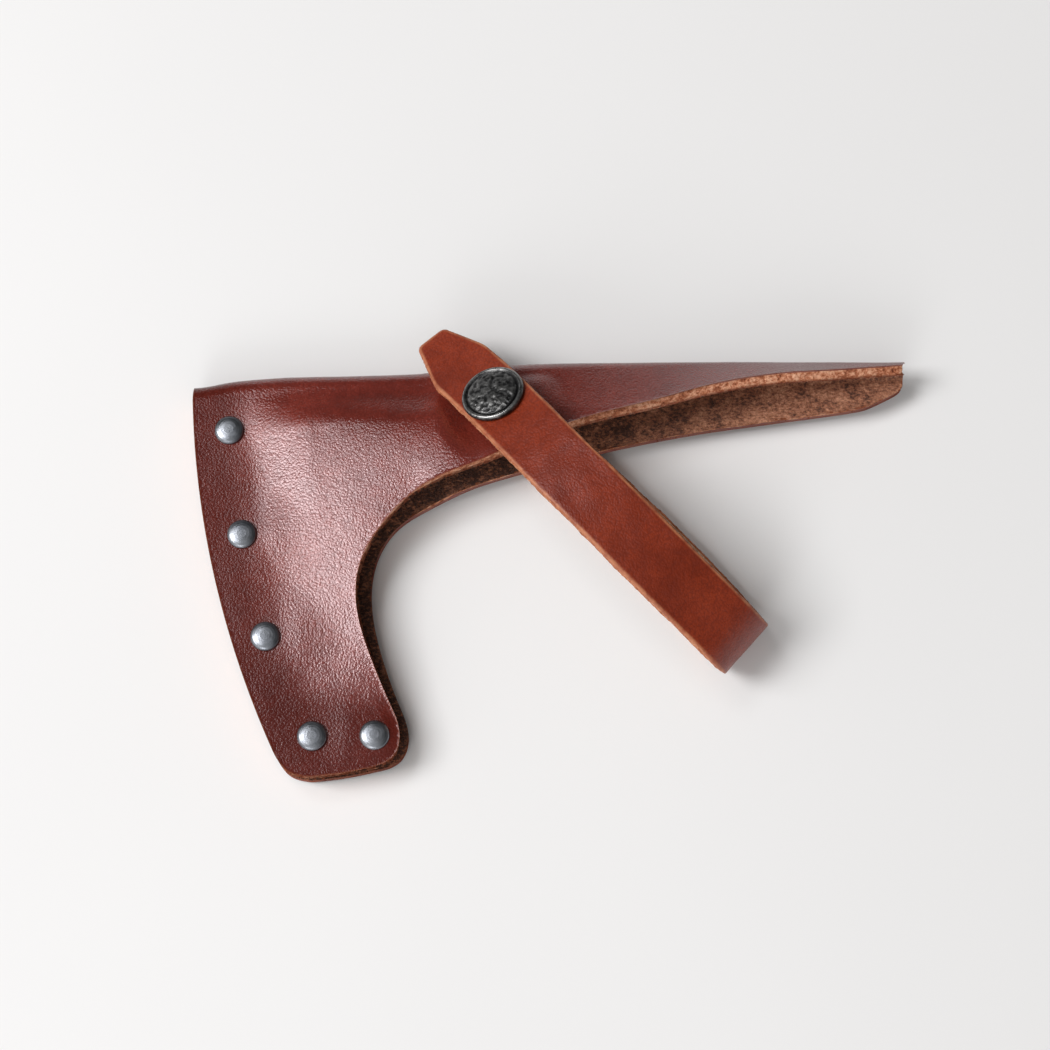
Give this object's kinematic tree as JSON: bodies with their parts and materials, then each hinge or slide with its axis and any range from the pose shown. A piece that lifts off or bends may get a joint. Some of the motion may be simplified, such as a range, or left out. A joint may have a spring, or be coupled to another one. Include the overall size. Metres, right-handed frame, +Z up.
{
  "type": "hatchet sheath",
  "caption": "Folded leather sheath for a hatchet head, riveted along the blade edge, with a long tail along the fold and a strap that closes with a snap.",
  "frame": {"origin": "on the ground under the middle of the object's box, with the sheath lying on its back panel", "axes": "+X along the fold towards the tail's tip, +Y towards the fold, +Z up, out of the front panel"},
  "size_m": [0.171, 0.1086, 0.0341],
  "materials": {
    "body_leather": "smooth oiled full-grain leather, soft sheen",
    "strap_leather": "smooth full-grain bridle leather",
    "welt_leather": "cut edge, raw",
    "rivet_metal": "gunmetal, satin",
    "snap_metal": "blackened, polished high spots",
    "spring_steel": "bright wire"
  },
  "bodies": {
    "sheath": {"sheath_body": "body_leather", "edge_welt": "welt_leather", "rivet_1_cap": "rivet_metal", "rivet_1_post": "rivet_metal", "rivet_2_cap": "rivet_metal", "rivet_2_post": "rivet_metal", "rivet_3_cap": "rivet_metal", "rivet_3_post": "rivet_metal", "rivet_4_cap": "rivet_metal", "rivet_4_post": "rivet_metal", "rivet_5_cap": "rivet_metal", "rivet_5_post": "rivet_metal", "anchor_rivet_cap": "rivet_metal", "anchor_rivet_post": "rivet_metal", "strap_bend": "strap_leather", "strap_rear": "strap_leather", "snap_stud": "snap_metal", "snap_post": "snap_metal"},
    "strap_front": {"strap_front": "strap_leather"},
    "strap_tab": {"strap_tab": "strap_leather", "snap_cap": "snap_metal", "snap_socket": "snap_metal", "snap_spring": "spring_steel"}
  },
  "joints": [
    {"name": "strap_open", "type": "hinge", "parent": "sheath", "child": "strap_front", "pos_m": [0.046, -0.0244, 0.0111], "axis": [0.6619, 0.7496, 0], "range_deg": [0, 110], "deforming": ["strap_bend"]},
    {"name": "tab_peel", "type": "hinge", "parent": "strap_front", "child": "strap_tab", "pos_m": [0.00244, 0.01455, 0.03288], "axis": [0.6917, 0.7222, 0], "range_deg": [0, 60], "deforming": ["snap_spring"]}
  ]
}
